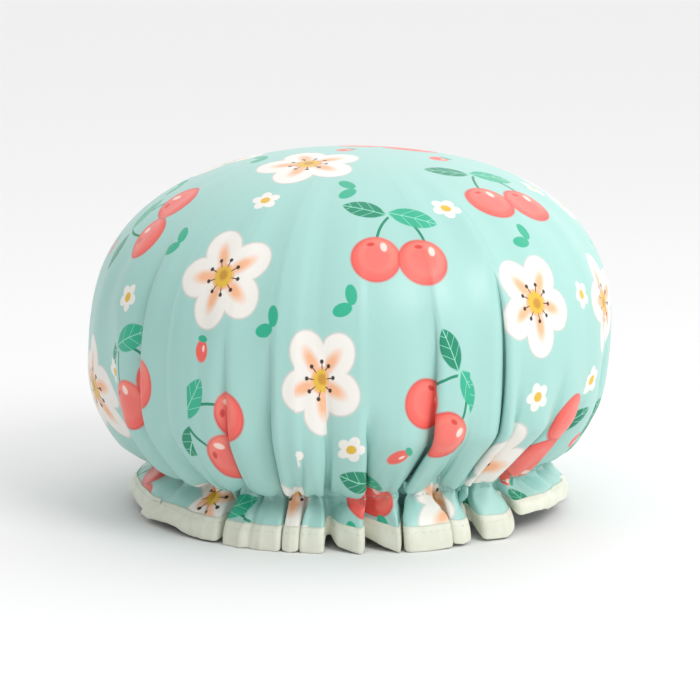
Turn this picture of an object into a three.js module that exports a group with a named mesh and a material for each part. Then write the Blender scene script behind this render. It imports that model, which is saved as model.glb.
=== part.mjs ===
// A gathered shower cap: a printed satin outer and a waterproof liner, cut as two equal discs, drawn in
// by an elastic that lies in a sewn channel, with a bound ruffle below it.
// Millimetres, +Z up. The hem stands on Z = 0, the axis of the cap is Z, and the front faces -Y.

import * as THREE from "three";

// Outline of the cap, measured over the crests of its folds.
const CROWN_RADIUS = 123; // at the fullest height
const CROWN_RISE = 88; // from the fullest height up to the top
const CROWN_POWER = 2.25; // 2 is an ellipse, more is fuller at the shoulder
const BELLY_DROP = 51; // from the fullest height down to the channel
const BELLY_POWER = 2.6;
const GATHER_RADIUS = 91; // along the channel
const CHANNEL_HEIGHT = 8; // the band that holds the elastic
const RUFFLE_HEIGHT = 22; // from the channel down to the foot of the hem
const HEM_RADIUS = 104.5; // at the foot of the hem
const RUFFLE_BELL = 1.3; // over 1 lets the ruffle spread early and then hang
const SHOULDER_PUFF = 5; // how much fuller the crown is at its upper right
const HIP_PUFF = 2.5; // and the belly at its left

// The folds. Each row is one valley between two lobes: its bearing on the belly and at the hem, in degrees
// from the front and positive to the right, the place where it dies out above, and its depth on the belly
// and at the hem as shares of the deepest fold.
const BELLY_FOLD = 11;
const HEM_FOLD = 16;
const PLEATS = [
  [-101, -97, 0.9, 0.7, 0.8],
  [-72, -68, 1.0, 0.5, 0.1],
  [-51, -45, 0.62, 1.0, 0.1],
  [-41, -34.5, 1.3, 0.7, 0.85],
  [-26.5, -26, 0.85, 0.85, 0.1],
  [-16.7, -17.6, 0.8, 0.95, 0.6],
  [-5, -6.8, 0.9, 0.5, 0.7],
  [4.2, 5.2, 1.1, 0.9, 0.8],
  [17.3, 13.6, 0.8, 1.0, 0.85],
  [25, 26, 1.15, 0.45, 0.6],
  [35, 34, 0.68, 1.0, 0.9],
  [51, 46, 1.0, 0.8, 0.75],
  [62, 57, 1.05, 0.6, 0.1],
  [78, 80, 0.9, 0.8, 0.8],
  [97, 97, 1.1, 0.6, 0.55],
  [107, 109, 0.7, 0.9, 0.85],
  [119, 120, 1.15, 0.6, 0.6],
  [133, 134, 0.95, 0.8, 0.9],
  [150, 147, 0.65, 1.0, 0.75],
  [163, 161, 1.2, 0.6, 0.85],
  [178, 175, 0.9, 0.8, 0.6],
  [192, 189, 1.1, 0.7, 0.9],
  [208, 204, 0.7, 1.0, 0.75],
  [222, 220, 1.15, 0.6, 0.85],
  [238, 235, 0.95, 0.8, 0.6],
  [247, 249, 0.8, 0.9, 0.75],
];
const FULL_TURN = 360;
const GATHER_DEPTH = 1.8; // of every valley where the elastic holds it
const LOBE_SAG = 0.19 * (CROWN_RADIUS - GATHER_RADIUS); // how far a lobe hangs over the channel
const VALLEY_SAG = 0.55; // the share of it by which the valleys hang
const LOBE_POWER = 0.7; // under 1 rounds a lobe and sharpens its valleys

// The cloths and what is sewn to them.
const SATIN = 0.4; // thickness of the outer
const LINER = 0.3; // thickness of the liner
const CLEARANCE = 0.4; // between one cloth, tape or thread and the next
const ELASTIC_WIDTH = 5;
const ELASTIC_THICKNESS = 0.8;
const BINDING_HEIGHT = 11;
const BINDING_TAPE = 0.5; // thickness of the tape
const BINDING_STITCH = 2.2; // from the binding's upper edge down to its stitches
const THREAD = 0.6; // across the sewing thread

// Places down the profile are counted from 0 at the top.
const FULLEST = 1;
const DRIFT_START = 1.2; // where a valley leaves its bearing on the belly
const SHOULDER_PLACES = [0, 0.3, 0.45, 1.15]; // where a puff starts, is full, fades and ends
const HIP_PLACES = [0.85, 1.2, 1.7, 1.9];
const SAG_START = 1.45;
const PLEAT_FULL = 1.75; // where a valley has its whole depth on the belly
const SAG_FULL = 1.88; // where a lobe hangs lowest
const CHANNEL_TOP = 2;
const CHANNEL_FOOT = 3;
const FOOT = 4;

// How finely the solids are faceted: points on each pleat from valley to valley, and rings by place.
// The crown is plain near its top, so rings there take every fourth or every second point.
const PLEAT_POINTS = [0, 0.22, 0.5, 0.78];
const TOP_RINGS = [0.16, 0.32];
const SHOULDER_RINGS = [0.46, 0.58];
const BODY_RINGS = [0.7, 0.82, 0.93, 1.04, 1.2, 1.4, 1.6, PLEAT_FULL];
const CHANNEL_RINGS = [SAG_FULL, CHANNEL_TOP, CHANNEL_FOOT];
const SLOPE_STEP = 0.02; // how far beside a point the lie of the cloth is measured

const { lerp, smoothstep, degToRad } = THREE.MathUtils;

// Where each part of the profile ends, upwards from the floor.
const CHANNEL_FOOT_Z = RUFFLE_HEIGHT;
const CHANNEL_TOP_Z = CHANNEL_FOOT_Z + CHANNEL_HEIGHT;
const FULLEST_Z = CHANNEL_TOP_Z + BELLY_DROP;

// The cloths stop short of the foot by the tape that wraps them, and the rings follow the ruffle down.
const PLY_END = FOOT - (BINDING_TAPE + CLEARANCE) / RUFFLE_HEIGHT;
const BINDING_TOP = FOOT - BINDING_HEIGHT / RUFFLE_HEIGHT;
const BINDING_SEAM = BINDING_TOP + BINDING_STITCH / RUFFLE_HEIGHT;
const BINDING_MIDDLE = (BINDING_TOP + PLY_END) / 2;
const RUFFLE_RINGS = [lerp(CHANNEL_FOOT, BINDING_TOP, 0.5), BINDING_TOP, BINDING_MIDDLE, PLY_END];

// How far each face lies behind the outer face of the satin.
const LINER_FACE = SATIN + CLEARANCE;
const LINER_BACK = LINER_FACE + LINER;
const ELASTIC_FACE = SATIN + CLEARANCE;
const ELASTIC_BACK = ELASTIC_FACE + ELASTIC_THICKNESS;
const CHANNEL_LINER_FACE = ELASTIC_BACK + CLEARANCE;

// One column of points runs down the cloth at each of these: the pleat and the share of the way across it.
const columns = PLEATS.flatMap((_, pleat) => PLEAT_POINTS.map((share) => ({ pleat, share })));

// How far the ruffle has spread at a place, as a share of its whole spread.
function spread(place) {
  const left = Math.min(FOOT - place, 1);
  return 1 - Math.sign(left) * Math.abs(left) ** RUFFLE_BELL;
}

// The outline without folds: radius and height at a place.
function outline(place) {
  if (place < FULLEST) {
    const turn = (place * Math.PI) / 2;
    return {
      radius: CROWN_RADIUS * Math.sin(turn) ** (2 / CROWN_POWER),
      z: FULLEST_Z + CROWN_RISE * Math.cos(turn) ** (2 / CROWN_POWER),
    };
  }
  if (place < CHANNEL_TOP) {
    const turn = ((place - FULLEST) * Math.PI) / 2;
    return {
      radius: lerp(GATHER_RADIUS, CROWN_RADIUS, Math.cos(turn) ** (2 / BELLY_POWER)),
      z: FULLEST_Z - BELLY_DROP * Math.sin(turn) ** (2 / BELLY_POWER),
    };
  }
  if (place < CHANNEL_FOOT)
    return { radius: GATHER_RADIUS, z: lerp(CHANNEL_TOP_Z, CHANNEL_FOOT_Z, place - CHANNEL_TOP) };
  return {
    radius: lerp(GATHER_RADIUS, HEM_RADIUS, spread(place)),
    z: lerp(CHANNEL_FOOT_Z, 0, place - CHANNEL_FOOT),
  };
}

// How much fuller than the outline the cap is at a place and bearing.
function puff(place, bearing) {
  const side = Math.sin(bearing);
  const fullness = side > 0 ? SHOULDER_PUFF : HIP_PUFF;
  const [start, full, fade, end] = side > 0 ? SHOULDER_PLACES : HIP_PLACES;
  return fullness * side ** 2 * smoothstep(place, start, full) * (1 - smoothstep(place, fade, end));
}

// How deep one valley is at a place.
function valleyDepth([, , climb, bellyShare, hemShare], place) {
  const bellyDepth = BELLY_FOLD * bellyShare;
  const hemDepth = HEM_FOLD * hemShare;
  if (place < PLEAT_FULL) return bellyDepth * smoothstep(place, climb, PLEAT_FULL);
  if (place < CHANNEL_TOP) return lerp(bellyDepth, GATHER_DEPTH, smoothstep(place, PLEAT_FULL, CHANNEL_TOP));
  return lerp(GATHER_DEPTH, hemDepth, spread(place));
}

// Where one valley runs at a place: from its bearing on the belly it drifts to its bearing at the hem.
function valleyBearing([belly, hem], place) {
  return lerp(belly, hem, smoothstep(place, DRIFT_START, SAG_FULL));
}

// How far a lobe hangs below the outline at a place.
function lobeSag(place) {
  if (place < SAG_FULL) return LOBE_SAG * smoothstep(place, SAG_START, SAG_FULL);
  return LOBE_SAG * (1 - smoothstep(place, SAG_FULL, CHANNEL_TOP));
}

// A point on the outer face of the satin, in the given column and at the given place.
function clothPoint(column, place) {
  const { pleat, share } = columns[(column + columns.length) % columns.length];
  const here = PLEATS[pleat];
  const next = PLEATS[(pleat + 1) % PLEATS.length];
  const start = valleyBearing(here, place);
  const span = (valleyBearing(next, place) - start + FULL_TURN) % FULL_TURN;
  const bearing = degToRad(start + span * share);
  const depth = lerp(valleyDepth(here, place), valleyDepth(next, place), share);
  const lobe = Math.sin(Math.PI * share) ** LOBE_POWER;
  const { radius, z } = outline(place);
  const reach = radius + puff(place, bearing) - depth * (1 - lobe);
  return new THREE.Vector3(
    reach * Math.sin(bearing),
    -reach * Math.cos(bearing),
    z - lobeSag(place) * lerp(VALLEY_SAG, 1, lobe),
  );
}

// The step that carries a point of the cloth one millimetre outwards from every facet around it, so that a
// layer keeps its distance on both flanks of a fold.
function outwardStep(column, place) {
  const point = clothPoint(column, place);
  const sums = new THREE.Matrix3().set(0, 0, 0, 0, 0, 0, 0, 0, 0);
  const total = new THREE.Vector3();
  for (const side of [-1, 1])
    for (const down of [-SLOPE_STEP, SLOPE_STEP]) {
      const across = clothPoint(column + side, place).sub(point).multiplyScalar(side);
      const along = clothPoint(column, place + down).sub(point).multiplyScalar(Math.sign(down));
      const { x, y, z } = along.cross(across).normalize();
      const facing = [x, y, z];
      total.add(new THREE.Vector3(x, y, z));
      facing.forEach((a, i) => facing.forEach((b, j) => (sums.elements[i + 3 * j] += a * b)));
    }
  const steady = 0.01; // keeps the sums solvable where all four facets lie in one plane
  for (const diagonal of [0, 4, 8]) sums.elements[diagonal] += steady;
  return total.applyMatrix3(sums.invert());
}

// A point moved off the outer face of the satin. At the hem it keeps its height, so the cap stands flat.
function layerPoint(column, place, offset) {
  if (place === 0) return new THREE.Vector3(0, 0, FULLEST_Z + CROWN_RISE + offset);
  const point = clothPoint(column, place).addScaledVector(outwardStep(column, place), offset);
  if (place >= PLY_END) point.z = outline(place).z;
  return point;
}

// Which columns the rings of a cloth take: every one, or fewer where the cloth is plain.
function outerStride(place) {
  if (TOP_RINGS.includes(place)) return 4;
  return SHOULDER_RINGS.includes(place) ? 2 : 1;
}

// The liner spans its folds more loosely, from valley to crest.
function linerStride(place) {
  return BODY_RINGS.includes(place) ? 2 : outerStride(place);
}

function ringColumns(place, stride) {
  if (place === 0) return [0];
  return columns.map((_, column) => column).filter((column) => column % stride(place) === 0);
}

// Sweeps a profile round the folds. The profile lists [place, offset] down the outside and up the inside;
// it either starts and ends on the axis or closes on itself.
function sweep(name, material, profile, stride = outerStride) {
  const positions = [];
  const faces = [];
  const rings = profile.map(([place, offset]) =>
    ringColumns(place, stride).map((column) => {
      positions.push(...layerPoint(column, place, offset).toArray());
      return positions.length / 3 - 1;
    }),
  );
  const places = profile.map(([place]) => place);
  if (rings[0].length > 1) {
    rings.push(rings[0]);
    places.push(places[0]);
  }
  for (let level = 0; level + 1 < rings.length; level += 1)
    bridge(rings[level], rings[level + 1], places[level + 1] >= places[level], faces);
  const geometry = new THREE.BufferGeometry();
  geometry.setAttribute("position", new THREE.Float32BufferAttribute(positions, 3));
  geometry.setIndex(faces);
  geometry.computeVertexNormals();
  const mesh = new THREE.Mesh(geometry, material);
  mesh.name = name;
  return mesh;
}

// Joins two rings with triangles; the rings may differ in how many points they have. Going down or up the
// profile, the lower ring leads, so the faces of two layers bend along the same diagonals.
function bridge(first, second, goingDown, faces) {
  const firstSteps = first.length > 1 ? first.length : 0;
  const secondSteps = second.length > 1 ? second.length : 0;
  let a = 0;
  let b = 0;
  while (a < firstSteps || b < secondSteps) {
    const firstNow = first[a % first.length];
    const secondNow = second[b % second.length];
    const firstNext = a < firstSteps ? (a + 1) / firstSteps : Infinity;
    const secondNext = b < secondSteps ? (b + 1) / secondSteps : Infinity;
    if (secondNext < firstNext || (secondNext === firstNext && goingDown)) {
      b += 1;
      faces.push(firstNow, secondNow, second[b % second.length]);
    } else {
      a += 1;
      faces.push(firstNow, secondNow, first[a % first.length]);
    }
  }
}

// A thread that follows the folds at a place, its back a given offset from the satin's outer face. The
// height is that of the part of the profile it lies on.
function threadProfile(place, back, height) {
  const half = THREAD / 2 / height;
  return [
    [place, back + THREAD],
    [place + half, back],
    [place - half, back],
  ];
}

function cloth(color, roughness) {
  return new THREE.MeshStandardMaterial({ color, roughness, metalness: 0 });
}

const satin = cloth("#a9e3d8", 0.35);
const plastic = cloth("#dfe9e4", 0.3);
const elastic = cloth("#f1f1ec", 0.8);
const tape = cloth("#edefe3", 0.6);
const mintThread = cloth("#8fcfc2", 0.6);
const creamThread = cloth("#d9d6c6", 0.6);

const plyRings = [...TOP_RINGS, ...SHOULDER_RINGS, ...BODY_RINGS, ...CHANNEL_RINGS, ...RUFFLE_RINGS];
const inChannel = (place) => place >= CHANNEL_TOP && place <= CHANNEL_FOOT;

// The outer: one disc of satin, crown and ruffle in one.
const outerFace = [0, ...plyRings].map((place) => [place, 0]);
const outerBack = [0, ...plyRings].map((place) => [place, -SATIN]);
const outerShell = sweep("outer_shell", satin, [...outerFace, ...outerBack.reverse()]);

// The liner lies close behind the outer and stands off it by the elastic along the channel.
const linerShift = (place) => (inChannel(place) ? CHANNEL_LINER_FACE - LINER_FACE : 0);
const linerFace = [0, ...plyRings].map((place) => [place, -LINER_FACE - linerShift(place)]);
const linerBack = [0, ...plyRings].map((place) => [place, -LINER_BACK - linerShift(place)]);
const innerLiner = sweep("inner_liner", plastic, [...linerFace, ...linerBack.reverse()], linerStride);

// The elastic lies between the two in the middle of the channel.
const elasticMargin = (1 - ELASTIC_WIDTH / CHANNEL_HEIGHT) / 2;
const elasticTop = CHANNEL_TOP + elasticMargin;
const elasticFoot = CHANNEL_FOOT - elasticMargin;
const elasticBand = sweep("elastic_band", elastic, [
  [elasticTop, -ELASTIC_FACE],
  [elasticFoot, -ELASTIC_FACE],
  [elasticFoot, -ELASTIC_BACK],
  [elasticTop, -ELASTIC_BACK],
]);

// The binding is a tape folded over the hem of both cloths, flat underneath where the cap stands.
const tapeNear = CLEARANCE;
const tapeFar = CLEARANCE + BINDING_TAPE;
const tapeBackNear = -LINER_BACK - CLEARANCE;
const tapeBackFar = tapeBackNear - BINDING_TAPE;
const FOLD = FOOT - BINDING_TAPE / RUFFLE_HEIGHT;
const hemBinding = sweep("hem_binding", tape, [
  [BINDING_TOP, tapeFar],
  [BINDING_SEAM, tapeFar],
  [BINDING_MIDDLE, tapeFar],
  [FOOT, tapeFar],
  [FOOT, tapeBackFar],
  [BINDING_MIDDLE, tapeBackFar],
  [BINDING_TOP, tapeBackFar],
  [BINDING_TOP, tapeBackNear],
  [BINDING_MIDDLE, tapeBackNear],
  [FOLD, tapeBackNear],
  [FOLD, tapeNear],
  [BINDING_MIDDLE, tapeNear],
  [BINDING_TOP, tapeNear],
]);

// The stitches: one row along each edge of the channel and one round the binding.
const onSatin = CLEARANCE;
const onTape = tapeFar + CLEARANCE;
const channelSeamUpper = sweep(
  "channel_seam_upper",
  mintThread,
  threadProfile(CHANNEL_TOP + elasticMargin / 2, onSatin, CHANNEL_HEIGHT),
);
const channelSeamLower = sweep(
  "channel_seam_lower",
  mintThread,
  threadProfile(CHANNEL_FOOT - elasticMargin / 2, onSatin, CHANNEL_HEIGHT),
);
const bindingSeam = sweep(
  "binding_seam",
  creamThread,
  threadProfile(BINDING_SEAM, onTape, RUFFLE_HEIGHT),
);

const cap = new THREE.Group();
cap.name = "shower_cap";
cap.add(outerShell, innerLiner, elasticBand, hemBinding, channelSeamUpper, channelSeamLower, bindingSeam);
export default cap;
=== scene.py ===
# %% [markdown]
# # A gathered shower cap
# The cap is a puffed crown of printed satin over a waterproof liner. An elastic in a sewn channel draws
# both in above a ruffle, and a cream tape binds the hem. This lesson builds each cloth from one shared
# description of the folds, so that the layers lie in each other as they do on the real cap.

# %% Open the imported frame
import math
import bpy
import numpy as np
from mathutils import Matrix, Vector


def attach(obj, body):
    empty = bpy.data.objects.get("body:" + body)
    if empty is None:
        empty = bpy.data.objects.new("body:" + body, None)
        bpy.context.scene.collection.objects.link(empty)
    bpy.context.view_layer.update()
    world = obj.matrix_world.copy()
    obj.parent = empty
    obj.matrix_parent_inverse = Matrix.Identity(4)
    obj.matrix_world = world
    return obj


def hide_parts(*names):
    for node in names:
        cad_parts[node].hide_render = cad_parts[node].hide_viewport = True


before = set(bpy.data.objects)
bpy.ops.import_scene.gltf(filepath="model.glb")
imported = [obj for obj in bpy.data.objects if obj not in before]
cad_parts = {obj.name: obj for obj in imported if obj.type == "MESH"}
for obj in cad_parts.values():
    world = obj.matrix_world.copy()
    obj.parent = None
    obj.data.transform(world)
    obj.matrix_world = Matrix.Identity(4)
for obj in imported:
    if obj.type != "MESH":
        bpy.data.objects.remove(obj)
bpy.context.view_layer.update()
bpy.ops.object.select_all(action="DESELECT")
print("nodes in the frame:", sorted(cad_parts))

# %% [markdown]
# ## The outline
# Seen from the side the cap is a flattened ball, pulled in at the elastic, with a short flared skirt. A
# lathe could turn that outline, but the folds have to run through it, so it is written as a function of
# one number, the place: 0 at the top, 1 at the fullest height, 2 and 3 at the edges of the channel and
# 4 at the foot of the hem. Sizes are the solid model's, in millimetres.

# %% Outline from top to hem
CROWN_RADIUS = 123.0
CROWN_RISE = 88.0
CROWN_POWER = 2.25
BELLY_DROP = 51.0
BELLY_POWER = 2.6
GATHER_RADIUS = 91.0
CHANNEL_HEIGHT = 8.0
RUFFLE_HEIGHT = 22.0
HEM_RADIUS = 104.5
RUFFLE_BELL = 2.0  # over 1 lets the skirt spread early and then hang
CHANNEL_TOP_Z = RUFFLE_HEIGHT + CHANNEL_HEIGHT
FULLEST_Z = CHANNEL_TOP_Z + BELLY_DROP
FULLEST, CHANNEL_TOP, CHANNEL_FOOT, FOOT = 1.0, 2.0, 3.0, 4.0


def ease(x, low, high):
    """0 below low, 1 above high, and a smooth rise between them."""
    share = np.clip((x - low) / (high - low), 0.0, 1.0)
    return share * share * (3.0 - 2.0 * share)


def outline(place):
    """Radius and height of the unfolded cap at each place."""
    crown = np.clip(place, 0.0, 1.0) * np.pi / 2
    belly = np.clip(place - FULLEST, 0.0, 1.0) * np.pi / 2
    channel = np.clip(place - CHANNEL_TOP, 0.0, 1.0)
    ruffle = np.clip(place - CHANNEL_FOOT, 0.0, 1.0)
    pinch = np.clip(np.cos(belly), 0.0, 1.0) ** (2 / BELLY_POWER)
    radius = np.where(
        place < FULLEST,
        CROWN_RADIUS * np.sin(crown) ** (2 / CROWN_POWER),
        GATHER_RADIUS + (CROWN_RADIUS - GATHER_RADIUS) * pinch,
    )
    radius = radius + (HEM_RADIUS - GATHER_RADIUS) * (1 - (1 - ruffle) ** RUFFLE_BELL)
    height = FULLEST_Z + CROWN_RISE * np.clip(np.cos(crown), 0.0, 1.0) ** (2 / CROWN_POWER)
    height = height - BELLY_DROP * np.sin(belly) ** (2 / BELLY_POWER)
    height = height - CHANNEL_HEIGHT * channel - RUFFLE_HEIGHT * ruffle
    return radius, height


print("crown top at", outline(np.array([0.0]))[1][0], "mm")

# %% [markdown]
# ## The folds
# The gathers fall by chance. A cloth simulation could lay them, but not where the eye expects the large
# ones, so they are listed from the left round to the back. Each row is one valley between two lobes.
# Its bearing is counted in degrees from the front, to the right, once on the belly and once at the hem.
# Then come the place where it dies out above, its depth on the belly and at the hem as shares of the
# deepest fold, which neighbour laps over it (1 for the right one, -1 for the left), and where the crest of
# the next lobe lies between its two valleys, again on the belly and at the hem. The last three are how far
# the hem lifts at the valley, and how far the next lobe tucks in there and is creased to a ridge.

# %% Table of folds
BELLY_FOLD = 17.5  # millimetres
HEM_FOLD = 19.0
FOLDS = np.array([
    [-101, -97, 0.9, 0.7, 0.8, 0, 0.5, 0.5, 6, 0, 0],
    [-61, -60, 0.85, 0.75, 0.02, 0.3, 0.55, 0.5, 4, 0, 0],
    [-50.5, -44, 0.62, 1, 0.01, 1, 0.3, 0.6, 1, 0, 0],
    [-41, -35.2, 1.3, 0.7, 0.85, 1, 0.3, 0.4, 0, 14, 0],
    [-35, -33.2, 1.6, 0.1, 0.95, 0.3, 0.4, 0.35, 0, 0, 0],
    [-26.5, -26, 0.9, 0.85, 0.01, 1, 0.25, 0.5, 0, 0, 0],
    [-16.7, -17.6, 0.9, 0.95, 0.6, 1, 0.4, 0.5, 0, 0, 0.4],
    [-11, -12.3, 1.45, 0.25, 0.4, 0.4, 0.5, 0.5, 0, 1, 0],
    [-5, -6.6, 0.9, 0.5, 0.75, 0.2, 0.68, 0.78, 0, 0, 0.75],
    [4.2, 5.2, 1.1, 0.9, 0.9, -1, 0.5, 0.82, 0, 0, 0.85],
    [17.3, 13.6, 0.82, 1, 1.05, 1, 0.3, 0.45, 0, 0, 0],
    [25, 26, 1.15, 0.45, 0.6, 0.2, 0.55, 0.5, 1, 1, 0.3],
    [33.5, 32.6, 0.68, 1, 0.9, 0.8, 0.4, 0.5, 1, 14, 0],
    [37.5, 34.8, 0.95, 0.7, 0.9, 0.6, 0.5, 0.6, 0, 0, 0.3],
    [51, 47.5, 1, 0.8, 0.7, 0.1, 0.5, 0.5, 9, 0, 0],
    [62, 60, 1.05, 0.6, 0.01, 0.4, 0.45, 0.5, 7.5, 0, 0],
    [78, 80, 0.9, 0.8, 0.8, 0.5, 0.4, 0.5, 3, 0, 0.5],
    [97, 97, 1.1, 0.6, 0.6, 0, 0.5, 0.5, 2, 0, 0.6],
    [107, 109, 0.7, 0.9, 0.9, -0.8, 0.6, 0.55, 0, 0, 0],
    [119, 120, 1.15, 0.6, 0.7, 0.3, 0.5, 0.5, 2, 0, 0.4],
    [133, 134, 0.95, 0.8, 1, 0.8, 0.4, 0.5, 0, 0, 0.8],
    [150, 147, 0.65, 1, 0.8, -1, 0.65, 0.55, 0, 0, 0],
    [163, 161, 1.2, 0.6, 0.95, 0.2, 0.5, 0.5, 3, 0, 0.3],
    [178, 175, 0.9, 0.8, 0.65, 0.9, 0.35, 0.45, 0, 0, 0.7],
    [192, 189, 1.1, 0.7, 1, -0.6, 0.6, 0.5, 0, 0, 0],
    [208, 204, 0.7, 1, 0.8, 1, 0.35, 0.45, 2, 0, 0.6],
    [222, 220, 1.15, 0.6, 0.95, -0.4, 0.6, 0.5, 0, 0, 0.2],
    [238, 235, 0.95, 0.8, 0.65, 0.8, 0.4, 0.5, 1, 0, 0.7],
    [247, 249, 0.8, 0.9, 0.9, -0.6, 0.6, 0.5, 4, 0, 0],
])
BELLY_BEARING, HEM_BEARING, CLIMB, BELLY_DEPTH, HEM_DEPTH, LAP = FOLDS.T[:6]
BELLY_CREST, HEM_CREST, HEM_LIFT, TUCK, RIDGE = FOLDS.T[6:]
LOBES = len(FOLDS)
print(LOBES, "folds")

# %% [markdown]
# ## The section of a fold
# Cut level through a fold and half of it, from valley to crest, is an S: it leaves the valley along the
# ring, turns steeply outwards and comes level again on the crest. A plain wave can't overhang, but a curve
# that is walked by its direction can, and cloth bends in just that way. Each table below holds such curves
# from flat to overhanging. On the belly the valleys are sharp and the lobes round, at the neck of the
# ruffle the ridges are narrow, and at the hem the lobes are broad boxes.

# %% Half a fold, from flat to overhanging
HALF_STEPS = 16  # steps of cloth from a valley to the next crest
FINER = 40  # small steps walked for each one kept
STEEPEST = 1.78  # radians, a little past upright
SECTIONS = 60
FLATTEST = 0.005  # growth of the first section, not quite flat
UPRIGHT_AT = 0.5  # growth at which the flank has reached its full steepness
WIDENS_FROM = 0.3  # growth from which the flank takes up more cloth
FLANK_OVERRUN = 1.1  # the flank's upper bend ends a little past it
VALLEY_TURN = 0.25  # share of the flank that its lower bend takes


def half_folds(flank_start, least_flank, most_flank, crest_turn, roundness):
    """Steepness, and shares across and up, of half folds whose flank takes a growing share of the cloth."""
    walk = np.linspace(0.0, 1.0, FINER * HALF_STEPS + 1)
    grow = np.linspace(FLATTEST, 1.0, SECTIONS)[:, None]
    swing = STEEPEST * np.minimum(grow / UPRIGHT_AT, 1.0)
    widened = np.maximum(grow - WIDENS_FROM, 0.0) / (1 - WIDENS_FROM)
    flank = least_flank + (most_flank - least_flank) * widened
    first = flank_start * (1 - flank)
    last = first + FLANK_OVERRUN * flank
    lower_bend = ease(walk, first, first + VALLEY_TURN * flank)
    upper_bend = 1 - ease(walk, last - crest_turn * flank, last)
    steep = lower_bend * upper_bend
    round_turn = walk ** (math.log(0.5) / np.log(first + flank / 2))
    direction = swing * (steep * (1 - roundness) + np.sin(np.pi * round_turn) * roundness)
    middle = (direction[:, 1:] + direction[:, :-1]) / 2
    start = np.zeros((SECTIONS, 1))
    across = np.hstack([start, np.cumsum(np.cos(middle), axis=1)])
    upward = np.hstack([start, np.cumsum(np.sin(middle), axis=1)])
    steepness = upward[:, -1] / across[:, -1]
    return steepness, (across / across[:, -1:])[:, ::FINER], (upward / upward[:, -1:])[:, ::FINER]


def look_up(table, steepness):
    """The shares across and up for folds of the given steepness, interpolated from a table."""
    known, across, upward = table
    row = np.interp(steepness, known, np.arange(len(known)))
    low = np.minimum(row.astype(int), len(known) - 2)
    part = (row - low)[..., None]
    return np.stack([
        across[low] * (1 - part) + across[low + 1] * part,
        upward[low] * (1 - part) + upward[low + 1] * part,
    ])


BELLY_SECTION = half_folds(flank_start=0.1, least_flank=0.16, most_flank=0.6, crest_turn=0.35, roundness=0.6)
NECK_SECTION = half_folds(flank_start=0.3, least_flank=0.32, most_flank=0.7, crest_turn=0.5, roundness=0.5)
HEM_SECTION = half_folds(flank_start=0.0, least_flank=0.28, most_flank=0.7, crest_turn=0.25, roundness=0.05)
STRAIGHT_SECTION = np.linspace(0.0, 1.0, HALF_STEPS + 1)  # from valley to ridge as a flat panel
print("a fold can be up to", round(float(HEM_SECTION[0][-1]), 2), "times as deep as half its width")

# %% [markdown]
# ## The surface of the cloth
# Every layer starts from the same sheet, which is built up in the next cells. The first says how deep
# each valley is at a place and where it lies: it grows down the belly, is held shallow by the elastic in
# the channel and opens again on the ruffle. The second walks every lobe from its valleys up to its crest.
# A flat sheet could be pushed in by a displacement instead, but then no fold could lap over the next.

# %% Depth and bearing of every fold at a place
GATHER_DEPTH = 4.5  # what the elastic leaves of a valley
PLEAT_FULL = 1.75  # place of the full depth
DEEPENING = 0.9  # under 1, so that a fold is deep soon after it starts
DRIFT_START = 1.3  # where a valley leaves its bearing on the belly
RUFFLE_OPENS, RUFFLE_DEEP = CHANNEL_FOOT - 0.2, CHANNEL_FOOT + 0.45


def valley_depths(place):
    """Depth of every valley below the outline, one row for each place."""
    place = place[:, None]
    down = np.clip((place - CLIMB) / (PLEAT_FULL - CLIMB), 0.0, 1.0)
    belly = BELLY_FOLD * BELLY_DEPTH * down**DEEPENING
    gathered = belly + (GATHER_DEPTH - belly) * ease(place, PLEAT_FULL, CHANNEL_TOP)
    return gathered + (HEM_FOLD * HEM_DEPTH - GATHER_DEPTH) * ease(place, RUFFLE_OPENS, RUFFLE_DEEP)


def valley_bearings(place):
    """Bearing of every valley, and of the first one again a full turn on, in radians."""
    belly = np.append(BELLY_BEARING, BELLY_BEARING[0] + 360)
    hem = np.append(HEM_BEARING, HEM_BEARING[0] + 360)
    return np.radians(belly + (hem - belly) * ease(place, DRIFT_START, CHANNEL_TOP)[:, None])


print("deepest valley on the belly:", valley_depths(np.array([PLEAT_FULL])).max().round(1), "mm")

# %% One side of every lobe
LAP_REACH = 9.0  # how far a deep valley slips under the lobe that laps over it
TINY = 0.001  # millimetres, so that nothing is divided by zero


def half_lobes(place, radius, crest, crest_radius, valley, depth, lap):
    """Bearing, radius and share of the rise for each step from a valley up to the crest."""
    rise = np.maximum(crest_radius - radius + depth, TINY)
    width = np.maximum(np.abs(crest - valley) * (crest_radius - rise / 2), TINY)
    into_ruffle = ease(place, CHANNEL_TOP, CHANNEL_FOOT)[:, None, None]
    to_hem = ease(place, CHANNEL_FOOT, RUFFLE_DEEP)[:, None, None]
    neck = look_up(NECK_SECTION, rise / width)
    hem = look_up(HEM_SECTION, rise / width)
    hem = hem + (STRAIGHT_SECTION - hem) * RIDGE[:, None]
    low = neck + (hem - neck) * to_hem
    belly = look_up(BELLY_SECTION, rise / width)
    across, upward = belly + (low - belly) * into_ruffle
    bearing = valley[..., None] + (crest - valley)[..., None] * across
    slip = LAP_REACH * lap * np.minimum(depth / BELLY_FOLD, 1.0) / np.maximum(radius, 1.0)
    bearing = bearing + slip[..., None] * (1 - upward) ** 2
    reach = crest_radius[..., None] - rise[..., None] * (1 - upward)
    return bearing, reach, upward


# %% [markdown]
# ## Fine creases
# Where the elastic crowds the cloth, it is pinched into narrow creases that run out on the belly and on the
# ruffle. They could be painted on as relief, but the larger ones catch the light at the edge of the belly,
# so they are in the mesh. Chance sets them, from a fixed seed, so that every run gives the same cap.

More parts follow.
